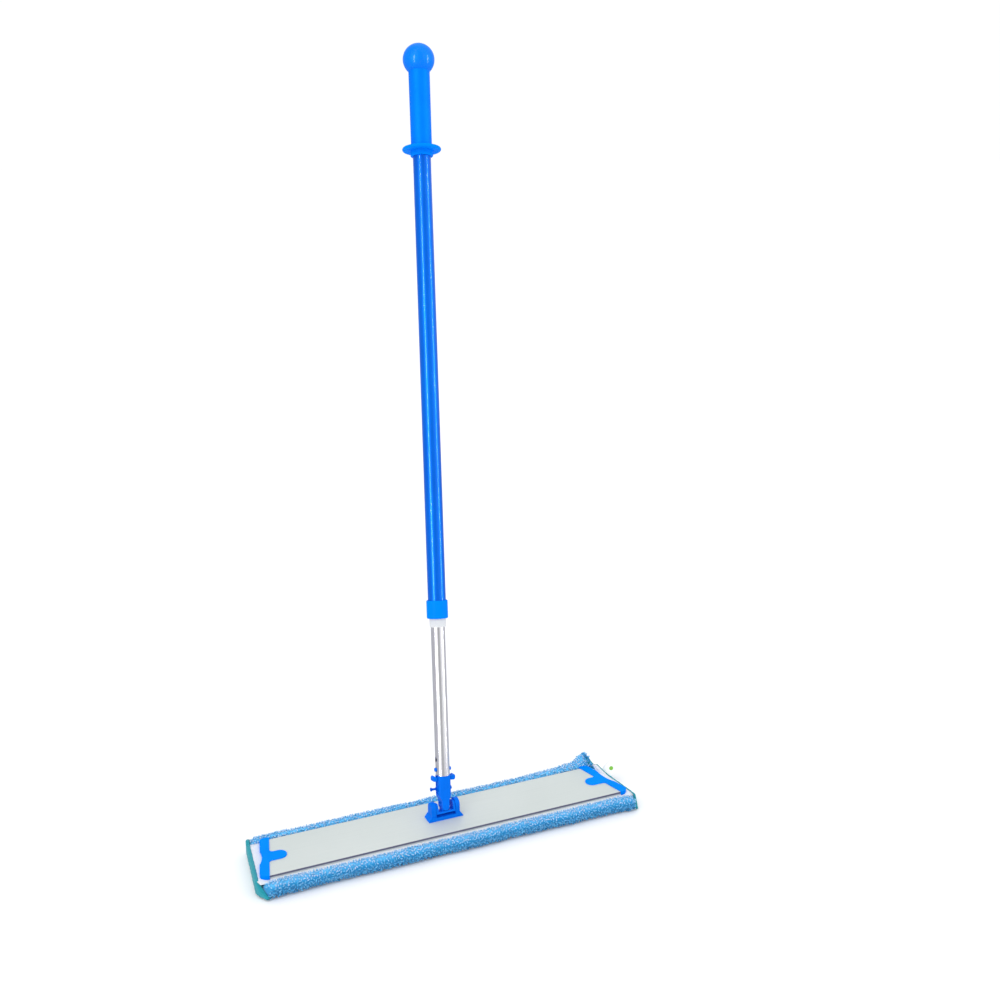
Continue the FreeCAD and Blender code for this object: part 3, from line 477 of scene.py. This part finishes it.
def section():
    """The pad's cross-section, front to rear over the top and back underneath, as (y, z) points."""
    top = [
        (-69.5, 11.0), (-70.3, 15.0), (-68.8, 19.6), (-65.0, 22.6), (-60.5, 23.2), (-57.0, 22.0),
        (-53.0, 19.6), (-25.0, 19.4), (0.0, 19.4), (25.0, 19.4), (48.0, 19.4), (50.5, 21.0),
        (53.5, 23.8), (58.5, 25.2), (63.5, 24.4), (67.0, 21.0), (68.5, 16.0), (67.5, 11.0)]
    bottom = [
        (66.5, 7.0), (63.5, 4.4), (59.0, 3.2), (45.0, 3.0), (23.0, 3.0), (0.0, 3.0),
        (-23.0, 3.0), (-45.0, 3.0), (-60.0, 3.0), (-65.5, 4.2), (-68.5, 7.0)]
    return top + bottom


def make_pad_base():
    """The padded body that carries the pile: a closed slab, swelled by a short cloth simulation."""
    ring = section()
    count = len(ring)
    stations = np.linspace(-1.0, 1.0, 81)
    end_height, thinning, end_inset = 0.88, 0.12, 2.5
    verts = []
    for s in stations:
        for y, z in ring:
            at_curl = float(s > 0 and y > 40)
            taper = end_height + thinning * max(smooth((1 - abs(s)) / 0.02), at_curl)
            x = s * (end_x(y, s) - end_inset)
            verts.append((x * MM, y * MM, (MID_HEIGHT + (z - MID_HEIGHT) * taper) * MM))
    faces = tube_faces(len(stations) - 1, count, flip=False)
    faces.append(tuple(range(count)))
    last = (len(stations) - 1) * count
    faces.append(tuple(last + j for j in reversed(range(count))))
    pad = new_object("pad_pile_cloth", verts, faces)
    remesh = pad.modifiers.new("remesh", "REMESH")
    remesh.mode = "VOXEL"
    remesh.voxel_size = 5 * MM
    apply_modifiers(pad)
    swell(pad)
    divide = pad.modifiers.new("divide", "SUBSURF")
    divide.levels = 1
    divide.render_levels = 1
    apply_modifiers(pad)
    sew(pad)
    pad.data.polygons.foreach_set("use_smooth", [True] * len(pad.data.polygons))
    return pad


def swell(pad):
    """Cloth with a little inner pressure; no point may move more than the cap."""
    rest = coords(pad)
    cap = 2.6 * MM
    frames = 20
    cloth_mod = pad.modifiers.new("cloth", "CLOTH")
    settings = cloth_mod.settings
    settings.quality = 5
    settings.mass = 0.2
    settings.tension_stiffness = 12
    settings.compression_stiffness = 12
    settings.shear_stiffness = 4
    settings.bending_stiffness = 0.4
    settings.use_pressure = True
    settings.uniform_pressure_force = 4
    settings.effector_weights.gravity = 0
    cloth_mod.collision_settings.use_collision = False
    scene = bpy.context.scene
    cloth_mod.point_cache.frame_start = 1
    cloth_mod.point_cache.frame_end = frames
    for number in range(1, frames + 1):
        scene.frame_set(number)
    graph = bpy.context.evaluated_depsgraph_get()
    evaluated = pad.evaluated_get(graph).data
    flat = np.zeros(len(evaluated.vertices) * 3)
    evaluated.vertices.foreach_get("co", flat)
    moved = flat.reshape(-1, 3) - rest
    length = np.linalg.norm(moved, axis=1, keepdims=True)
    moved *= np.minimum(1.0, cap / np.maximum(length, 1e-9))
    corner = smooth((rest[:, 0] / MM - 262.0) / 16.0) * smooth((rest[:, 1] / MM - 34.0) / 10.0)
    moved *= (1 - corner)[:, None]
    pad.modifiers.clear()
    set_coords(pad, rest + moved)
    scene.frame_set(1)


def sew(pad):
    """Flatten what lies under the plate and on the floor, press in the channels and curl the corner."""
    bed, sole = 19.8, 2.8
    channel_depth, channel_half = 3.6, 2.6
    rear_lip, corner_lip = 3.2, 2.5
    points = coords(pad) / MM
    x, y, z = points[:, 0], points[:, 1], points[:, 2]
    under = smooth((y - (BACKING_FRONT - BACKING_TUCK)) / 3.0)
    under = under * smooth((backing_rear(x) + BACKING_TUCK - y) / 3.0)
    high = z > 14
    z[high] -= under[high] * np.maximum(z[high] - bed, 0)
    z[~high] = np.maximum(z[~high], sole)
    for channel in CHANNELS:
        groove = np.exp(-((y - channel) / channel_half) ** 2) * (z < 9)
        z += channel_depth * groove
    wave = 0.8 * np.sin(x / 23.0 + 0.7 * np.sin(x / 41.0)) + 0.5 * np.sin(x / 9.7 + 1.3)
    side = smooth((np.abs(y) - 56.0) / 8.0)
    y += wave * side * np.sign(y) * 0.7
    z += wave * side * 0.35 * (z > 12)
    z += rear_lip * smooth((y - 49.0) / 8.0) * smooth((z - 8.0) / 8.0)
    z += corner_lip * smooth((x - 268.0) / 10.0) * smooth((y - 40.0) / 6.0) * smooth((z - 8.0) / 8.0)
    lifted = share_lifted(z)
    z += flare(x, y) * lifted
    x -= curled(x, y) * lifted
    set_coords(pad, np.stack([x, y, z], axis=1) * MM)


def pile_area(centres, normals):
    """True for the faces that carry loops: not under the plate and not behind the end tapes."""
    x, y, z = (centres / MM).T
    on_top = (normals[:, 2] > 0.2) & (z > 16)
    backed = on_top & (y > BACKING_FRONT) & (y < backing_rear(x))
    at_end = (np.abs(normals[:, 0]) > 0.6) & ~((x > 0) & (y > 42))
    return ~backed & ~at_end


def too_near(spot, cell, gap, spots, grid):
    """True if a spot that is already taken lies within the gap."""
    for dx, dy, dz in itertools.product((-1, 0, 1), repeat=3):
        for other in grid.get((cell[0] + dx, cell[1] + dy, cell[2] + dz), ()):
            if np.sum((spots[other] - spot) ** 2) < gap ** 2:
                return True
    return False


def scatter(pad, rng):
    """Evenly spaced random points on the pile's area, with their normals."""
    mesh = pad.data
    mesh.calc_loop_triangles()
    tris = np.array([t.vertices[:] for t in mesh.loop_triangles])
    points = coords(pad)
    a, b, c = points[tris[:, 0]], points[tris[:, 1]], points[tris[:, 2]]
    cross = np.cross(b - a, c - a)
    area = np.linalg.norm(cross, axis=1) / 2
    normals = cross / np.maximum(np.linalg.norm(cross, axis=1, keepdims=True), 1e-12)
    keep = pile_area((a + b + c) / 3, normals)
    weight = np.where(keep, area, 0)
    chosen = rng.choice(len(tris), size=LOOP_TRIES, p=weight / weight.sum())
    u, v = rng.random(len(chosen)), rng.random(len(chosen))
    flip = u + v > 1
    u[flip], v[flip] = 1 - u[flip], 1 - v[flip]
    spots = a[chosen] + (b - a)[chosen] * u[:, None] + (c - a)[chosen] * v[:, None]
    facing = normals[chosen]
    gaps = np.where(facing[:, 2] < UNDERSIDE, LOOP_GAP_UNDER, LOOP_GAP) * MM
    cells = np.floor(spots / (LOOP_GAP_UNDER * MM)).astype(int)
    grid, taken = {}, []
    for index, spot in enumerate(spots):
        cell = tuple(cells[index])
        if not too_near(spot, cell, gaps[index], spots, grid):
            grid.setdefault(cell, []).append(index)
            taken.append(index)
    return spots[taken], facing[taken]


def loop_tone_and_painted_light(spots, normals, rng):
    """Each loop's own random tone, with painted shade on the lower loops, and how far it lies on the
    crest of a lip, where painted light makes it paler.
    """
    heights = spots[:, 2] / MM
    low = 1 - smooth((heights - 3.0) / 8.0)
    # Painted shade: the loops near the floor are made darker.
    tone = (rng.random(len(spots)) - 0.4) * 0.42 - 0.2 * low
    crest_painted_light = smooth((heights - 13.0) / 8.0) * smooth(normals[:, 2] * 1.5)
    return tone, crest_painted_light


def make_loops(pad, rng):
    """Short arches of yarn on the pile's area, as one mesh with an attribute of random tone and painted
    light and shade.
    """
    spots, normals = scatter(pad, rng)
    count = len(spots)
    helper = np.tile([0.0, 0.0, 1.0], (count, 1))
    helper[np.abs(normals[:, 2]) > 0.9] = (1.0, 0.0, 0.0)
    first = np.cross(normals, helper)
    first /= np.linalg.norm(first, axis=1, keepdims=True)
    second = np.cross(normals, first)
    turn = rng.random(count) * 2 * math.pi
    along = first * np.cos(turn)[:, None] + second * np.sin(turn)[:, None]
    across = np.cross(normals, along)
    under = normals[:, 2] < UNDERSIDE
    height = np.where(under, 1.9, 2.1 + rng.random(count) * 1.2) * MM
    half = (1.0 + rng.random(count) * 0.4) * MM
    thick = np.where(under, 1.0, 0.86 + rng.random(count) * 0.22) * MM
    lean = (rng.random((count, 2)) - 0.5) * 2.0 * MM
    tone, crest_painted_light = loop_tone_and_painted_light(spots, normals, rng)
    # Each ring of an arch: place along it, height, width and how far the ring is turned.
    profile = [(-0.9, -0.25, 0.9, -1.2), (-1.15, 0.5, 1.0, -0.9), (0.0, 1.0, 1.1, 0.0),
               (1.15, 0.5, 1.0, 0.9), (0.9, -0.25, 0.9, 1.2)]
    sides = 3
    lowest = 0.25 * MM
    verts = np.zeros((count, len(profile), sides, 3))
    tone_and_painted_light = np.zeros((count, len(profile), sides))
    for ring, (reach, rise, width, tilt) in enumerate(profile):
        lifted = rise * height
        centre = spots + along * (reach * half)[:, None] + normals * lifted[:, None]
        swing = np.clip(rise, 0, 1)
        centre = centre + first * (lean[:, 0] * swing)[:, None] + second * (lean[:, 1] * swing)[:, None]
        outward = normals * math.cos(tilt) + along * math.sin(tilt)
        for side in range(sides):
            angle = 2 * math.pi * side / sides
            offset = across * math.cos(angle) + outward * math.sin(angle)
            verts[:, ring, side] = centre + offset * (thick * width * 0.95)[:, None]
            # Painted light and shade: each ring is paler the higher it rises and on the crest of a lip,
            # so the roots stay darker.
            tone_and_painted_light[:, ring, side] = 0.2 + 0.26 * max(rise, 0) + tone + 0.5 * crest_painted_light * max(rise, 0.6)
    verts[..., 2] = np.maximum(verts[..., 2], lowest)
    base = np.arange(count)[:, None] * (len(profile) * sides)
    quads = tube_faces(len(profile) - 1, sides, flip=False)
    faces = np.concatenate([base + np.array(quad) for quad in quads])
    loops = new_object("pad_pile_loops", verts.reshape(-1, 3), faces)
    attribute = loops.data.attributes.new("tone_and_painted_light", "FLOAT", "POINT")
    attribute.data.foreach_set("value", np.clip(tone_and_painted_light.reshape(-1), 0, 1).astype(np.float32))
    return loops


def paint_ground_crown_light(pad):
    """The knitted ground between the loops is darker low down; painted light makes it pale on the crown
    of each lip, where it faces up.
    """
    points = coords(pad) / MM
    normals = np.zeros(len(points) * 3)
    pad.data.vertices.foreach_get("normal", normals)
    up = normals.reshape(-1, 3)[:, 2]
    # Painted light: the ground is paler where it faces up on the crown of a lip.
    value = 0.14 + 0.45 * smooth((points[:, 2] - 14) / 9) * smooth(up * 1.3)
    attribute = pad.data.attributes.new("tone_and_painted_light", "FLOAT", "POINT")
    attribute.data.foreach_set("value", value.astype(np.float32))


def make_backing():
    """White loop cloth on the top of the pad, from lip to lip and out to the end tapes."""
    columns, rows = 150, 26
    end_inset, end_rise, ripple, tuck_drop = 2.4, 1.2, 0.18, 0.9

    def point(i, j, layer):
        s = 2 * i / columns - 1
        rear = float(backing_rear(s * REAR_HALF))
        y = BACKING_FRONT - BACKING_TUCK + (rear - BACKING_FRONT + 2 * BACKING_TUCK) * j / rows
        x = s * (end_x(y, s) - end_inset)
        outside = smooth((abs(x) - 291.0 + 0.247 * (y + 47.5)) / 6.0)
        z = BACKING_TOP + end_rise * outside
        z += ripple * math.sin(x / 13.0) * math.sin(y / 9.0) * outside
        edge = smooth((BACKING_FRONT + 4 - y) / 5.0) + smooth((y - rear + 2.5) / 4.0)
        z -= tuck_drop * edge
        lift = float(flare(x, y + 2.0)) * outside
        x -= float(curled(x, y + 2.0)) * outside
        return x, y, z + lift - BACKING_THICKNESS * layer

    return double_sheet("pad_backing_cloth", columns, rows, point)


def top_of_end(y, side):
    """Height of the pad's top along one short end: a flat middle, a crown at each lip, then down."""
    middle, front_crown, rear_crown, full_drop, lowest = 22.8, 0.8, 2.6, 19.5, 3.2
    crown = middle + front_crown * smooth((-50 - y) / 6.0) + rear_crown * smooth((y - 50) / 6.0)
    front_start = 46.0 if side < 0 else 59.0
    drop = full_drop * smooth((-front_start - y) / (71.0 - front_start)) ** 0.9
    if side < 0:
        drop += 21.0 * smooth((y - 61) / 9.0) ** 1.4
    else:
        drop += 6.0 * smooth((y - 38) / 8.0) + 5.0 * smooth((y - 58) / 9.0)
    return float(max(crown - drop, lowest))


def end_curl(y, side):
    """How far one short end is lifted and drawn back by the curl; the left end has none."""
    if side < 0:
        return 0.0, 0.0
    return float(flare(end_x(y), y)), float(curled(end_x(y), y))


def make_tape(side):
    """Teal tape folded over one short end of the pad."""
    stations = 90
    front, depth = -69.5, 137.5
    low = TAPE_LOW
    width = 1.0 if side < 0 else 0.5
    profile = [(-4.2, 0.15), (-4.0, 0.75), (-2.2, 1.1), (-0.4, 1.0), (0.9, 0.2), (1.3, -1.2)]
    ring_size = len(profile) * 2
    verts = []
    for i in range(stations + 1):
        y = front + depth * i / stations
        ruffle = 0.35 * math.sin(i * 0.9) + 0.25 * math.sin(i * 0.37 + 1)
        edge = float(end_x(y, side)) - 0.9 + 0.5 * ruffle
        top = top_of_end(y, side) + 0.25 * ruffle
        lift, back = end_curl(y, side)
        middle = max((top + low) / 2, low + 0.4)
        ring = [(edge + across * width, min(top + up, max(top + up, low))) for across, up in profile]
        below = [(edge + 1.3 * width, middle), (edge + 1.2 * width, low + 1.2),
                 (edge + 0.4 * width, low + 0.2), (edge - 1.8, low), (edge - 3.2, low + 0.6),
                 (edge - 3.0, middle)]
        for x, z in ring + below:
            raised = float(share_lifted(z))
            verts.append((side * (x - back * raised) * MM, y * MM, (z + lift * raised) * MM))
    faces = tube_faces(stations, ring_size, flip=side > 0)
    first = tuple(range(ring_size))
    last = tuple(stations * ring_size + j for j in range(ring_size))
    faces.append(tuple(reversed(first)) if side < 0 else first)
    faces.append(last if side < 0 else tuple(reversed(last)))
    name = "end_tape_left" if side < 0 else "end_tape_right"
    return new_object(name, verts, faces)


def make_stitches(side):
    """A row of small thread stitches along the inner edge of one tape."""
    pitch, length, radius = 3.6, 2.3, 0.32
    reach, corners = 55.0, 4
    inset = 3.4 if side < 0 else 1.6
    arch = ((-0.5, -0.35), (-0.25, 0.1), (0.25, 0.1), (0.5, -0.35))
    verts, faces = [], []
    y = -reach
    while y < reach:
        lift, back = end_curl(y, side)
        x = side * (float(end_x(y, side)) - inset - back)
        top = top_of_end(y, side) + 1.0 + lift
        start = len(verts)
        for t, rise in arch:
            for k in range(corners):
                angle = math.pi / 4 + math.pi / 2 * k
                across, up = x + radius * math.cos(angle), top + rise + radius * math.sin(angle)
                verts.append((across * MM, (y + t * length) * MM, up * MM))
        for r in range(len(arch) - 1):
            for k in range(corners):
                a = start + r * corners + k
                b = start + r * corners + (k + 1) % corners
                faces.append((a, a + corners, b + corners, b))
        faces.append((start, start + 1, start + 2, start + 3))
        faces.append((start + 15, start + 14, start + 13, start + 12))
        y += pitch
    name = "end_stitches_left" if side < 0 else "end_stitches_right"
    return new_object(name, verts, faces)


def make_label():
    """A thin white tag sewn into the right end; it curves up and has a small green leaf on it."""
    rows, columns = 14, 10
    foot_y, width, reach, rise, thickness = 9.0, 28.0, 22.5, 18.5, 0.45

    def point(i, j, layer):
        t = i / rows
        s = j / columns
        y = foot_y + width * s + 1.5 * t
        curl = 1.5 * math.sin(math.pi * s) * t
        x = end_x(y) - 2.0 + reach * t - 1.2 * math.sin(math.pi * t) + 0.5 * curl
        z = 20.2 + rise * t + 2.0 * math.sin(math.pi * t) * 0.6 + curl - thickness * layer
        return x, y, z

    return double_sheet("care_label_tag", rows, columns, point)


def label_material():
    """White satin tape with one green leaf-shaped spot."""
    n = Nodes("label_satin")
    weave = n.add("ShaderNodeTexWave", wave_type="BANDS", bands_direction="Y")
    weave.inputs["Scale"].default_value = 900.0
    n.join(n.place, weave.inputs["Vector"])
    leaf_place = (0.3095, 0.0215, 0.0305)
    leaf_size = (0.0034, 0.0048, 0.0040)
    spot = n.add("ShaderNodeMapping", vector_type="TEXTURE")
    spot.inputs["Location"].default_value = leaf_place
    spot.inputs["Scale"].default_value = leaf_size
    n.join(n.place, spot.inputs["Vector"])
    length = n.add("ShaderNodeVectorMath", operation="LENGTH")
    n.join(spot.outputs["Vector"], length.inputs[0])
    mask = n.ranged(length.outputs["Value"], 1.0, 0.0, 0.9, 1.05)
    white = n.mix(weave.outputs["Fac"], rgb(254, 254, 254), rgb(246, 247, 248))
    n.colour(n.mix(mask, white, rgb(120, 190, 40)))
    n.bump(weave.outputs["Fac"], 0.2, 0.0002)
    n.put("Roughness", 0.55)
    n.put("Sheen Weight", 0.2)
    return n.material


def build_pad():
    """Every soft piece of the pad, with its look; the nodes these pieces stand for are hidden."""
    rng = np.random.default_rng(SEED)
    yarn = pile_material()
    pad = make_pad_base()
    paint_ground_crown_light(pad)
    give(pad, yarn)
    loops = make_loops(pad, rng)
    give(loops, yarn)
    backing = make_backing()
    give(backing, cloth("backing_loops", rgb(246, 247, 250), rgb(214, 222, 232), 420.0))
    tape_look = cloth("teal_tape", rgb(34, 166, 178), rgb(12, 124, 140), 620.0, sheen=0.15, depth=0.0003)
    thread = cloth("teal_thread", rgb(70, 190, 196), rgb(30, 150, 160), 900.0, depth=0.0002)
    tapes = []
    for side, node in ((-1, "end_binding_left"), (1, "end_binding_right")):
        tape = make_tape(side)
        stitches = make_stitches(side)
        give(tape, tape_look)
        give(stitches, thread)
        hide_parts(node)
        tapes += [tape, stitches]
    label = make_label()
    give(label, label_material())
    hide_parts("pad_pile", "pad_core")
    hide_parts("pad_backing")
    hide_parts("care_label")
    for piece in [pad, loops, backing, label] + tapes:
        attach(piece, "pad")


# ---------------------------------------------------------------- studio

def make_floor():
    """A wide pale floor, darker where it shows in a shiny surface."""
    reach = 40
    corners = [(-reach, -reach, 0), (reach, -reach, 0), (reach, reach, 0), (-reach, reach, 0)]
    floor = new_object("studio_floor", corners, [(0, 1, 2, 3)])
    n = Nodes("studio_white")
    path = n.add("ShaderNodeLightPath")
    n.colour(n.mix(path.outputs["Is Glossy Ray"], (0.93, 0.93, 0.935, 1), (0.42, 0.42, 0.44, 1)))
    n.put("Roughness", 0.75)
    n.put("Specular IOR Level", 0.2)
    give(floor, n.material)


# Grey and white panels round the studio: degrees from the camera's direction, and brightness.
PANELS = [(-150, 0.95), (-128, 0.42), (-68, 0.42), (-54, 1.0), (-38, 1.0), (-34, 2.2), (-29, 2.2),
          (-25, 1.0), (-12, 0.98), (-4, 0.46), (26, 0.46), (38, 1.0), (62, 1.15), (84, 1.3),
          (100, 1.0), (118, 0.8), (132, 1.0), (178, 0.98)]
PANELS_TURN = -24.5


def panel_ramp(tree, angle):
    """The panels' brightness as a colour, from the angle round the studio."""
    ramp = tree.add("ShaderNodeValToRGB")
    ramp.color_ramp.interpolation = "EASE"
    stops = ramp.color_ramp.elements
    levels = sorted((((degrees + PANELS_TURN + 180) % 360) / 360, level) for degrees, level in PANELS)
    stops[0].position = levels[0][0]
    stops[0].color = (levels[0][1],) * 3 + (1,)
    stops[1].position = levels[-1][0]
    stops[1].color = (levels[-1][1],) * 3 + (1,)
    for position, level in levels[1:-1]:
        stops.new(position).color = (level, level, level, 1)
    tree.join(angle, ramp.inputs["Fac"])
    return ramp.outputs["Color"]


def make_world():
    """White to the camera and to rough surfaces; shiny ones see grey panels between white ones."""
    world = bpy.data.worlds.new("studio")
    bpy.context.scene.world = world
    world.use_nodes = True
    tree = Tree(world.node_tree)
    coord = tree.add("ShaderNodeTexCoord")
    split = tree.add("ShaderNodeSeparateXYZ")
    tree.join(coord.outputs["Generated"], split.inputs[0])
    flip = tree.add("ShaderNodeMath", operation="MULTIPLY")
    flip.inputs[1].default_value = -1
    tree.join(split.outputs["Y"], flip.inputs[0])
    angle = tree.add("ShaderNodeMath", operation="ARCTAN2")
    tree.join(split.outputs["X"], angle.inputs[0])
    tree.join(flip.outputs[0], angle.inputs[1])
    panels = panel_ramp(tree, tree.ranged(angle.outputs[0], 0.0, 1.0, -math.pi, math.pi))
    path = tree.add("ShaderNodeLightPath")
    lit = tree.mix(path.outputs["Is Glossy Ray"], (0.96, 0.97, 1.0, 1), panels)
    seen = tree.mix(path.outputs["Is Camera Ray"], lit, (1.0, 1.0, 1.0, 1))
    background = world.node_tree.nodes["Background"]
    tree.join(seen, background.inputs["Color"])
    background.inputs["Strength"].default_value = 1.02


def make_lights():
    """A very wide sun for an evenly white floor, and two tall panels that show only in gloss."""
    data = bpy.data.lights.new("key", "SUN")
    data.energy = 0.9
    data.angle = math.radians(50)
    light = bpy.data.objects.new("key", data)
    bpy.context.scene.collection.objects.link(light)
    light.rotation_euler = Vector((1.3, 1.2, -2.4)).to_track_quat("-Z", "Y").to_euler()
    light.visible_glossy = False
    strips = (("strip_left", (-2.45, -1.5, 1.4), 78), ("strip_right", (2.43, -1.67, 1.2), 56))
    for name, place, power in strips:
        panel = bpy.data.lights.new(name, "AREA")
        panel.shape = "RECTANGLE"
        panel.size = 0.14
        panel.size_y = 2.6
        panel.energy = power
        strip = bpy.data.objects.new(name, panel)
        bpy.context.scene.collection.objects.link(strip)
        strip.location = place
        level = Vector((-place[0], -place[1], 0))
        strip.rotation_euler = level.to_track_quat("-Z", "Y").to_euler()
        strip.visible_diffuse = False


def make_camera():
    """In front of the head and to its left, above the plate and looking a little down."""
    place = (-0.6370, -1.6109, 1.0442)
    down, turn = 16.25, -24.46
    data = bpy.data.cameras.new("camera")
    data.lens = 45
    data.sensor_width = 36
    camera = bpy.data.objects.new("camera", data)
    bpy.context.scene.collection.objects.link(camera)
    camera.location = place
    camera.rotation_euler = Euler((math.radians(90 - down), 0, math.radians(turn)))
    bpy.context.scene.camera = camera


bpy.context.scene.view_settings.view_transform = "Standard"
finish_cad_nodes()
build_pad()
make_floor()
make_world()
make_lights()
make_camera()
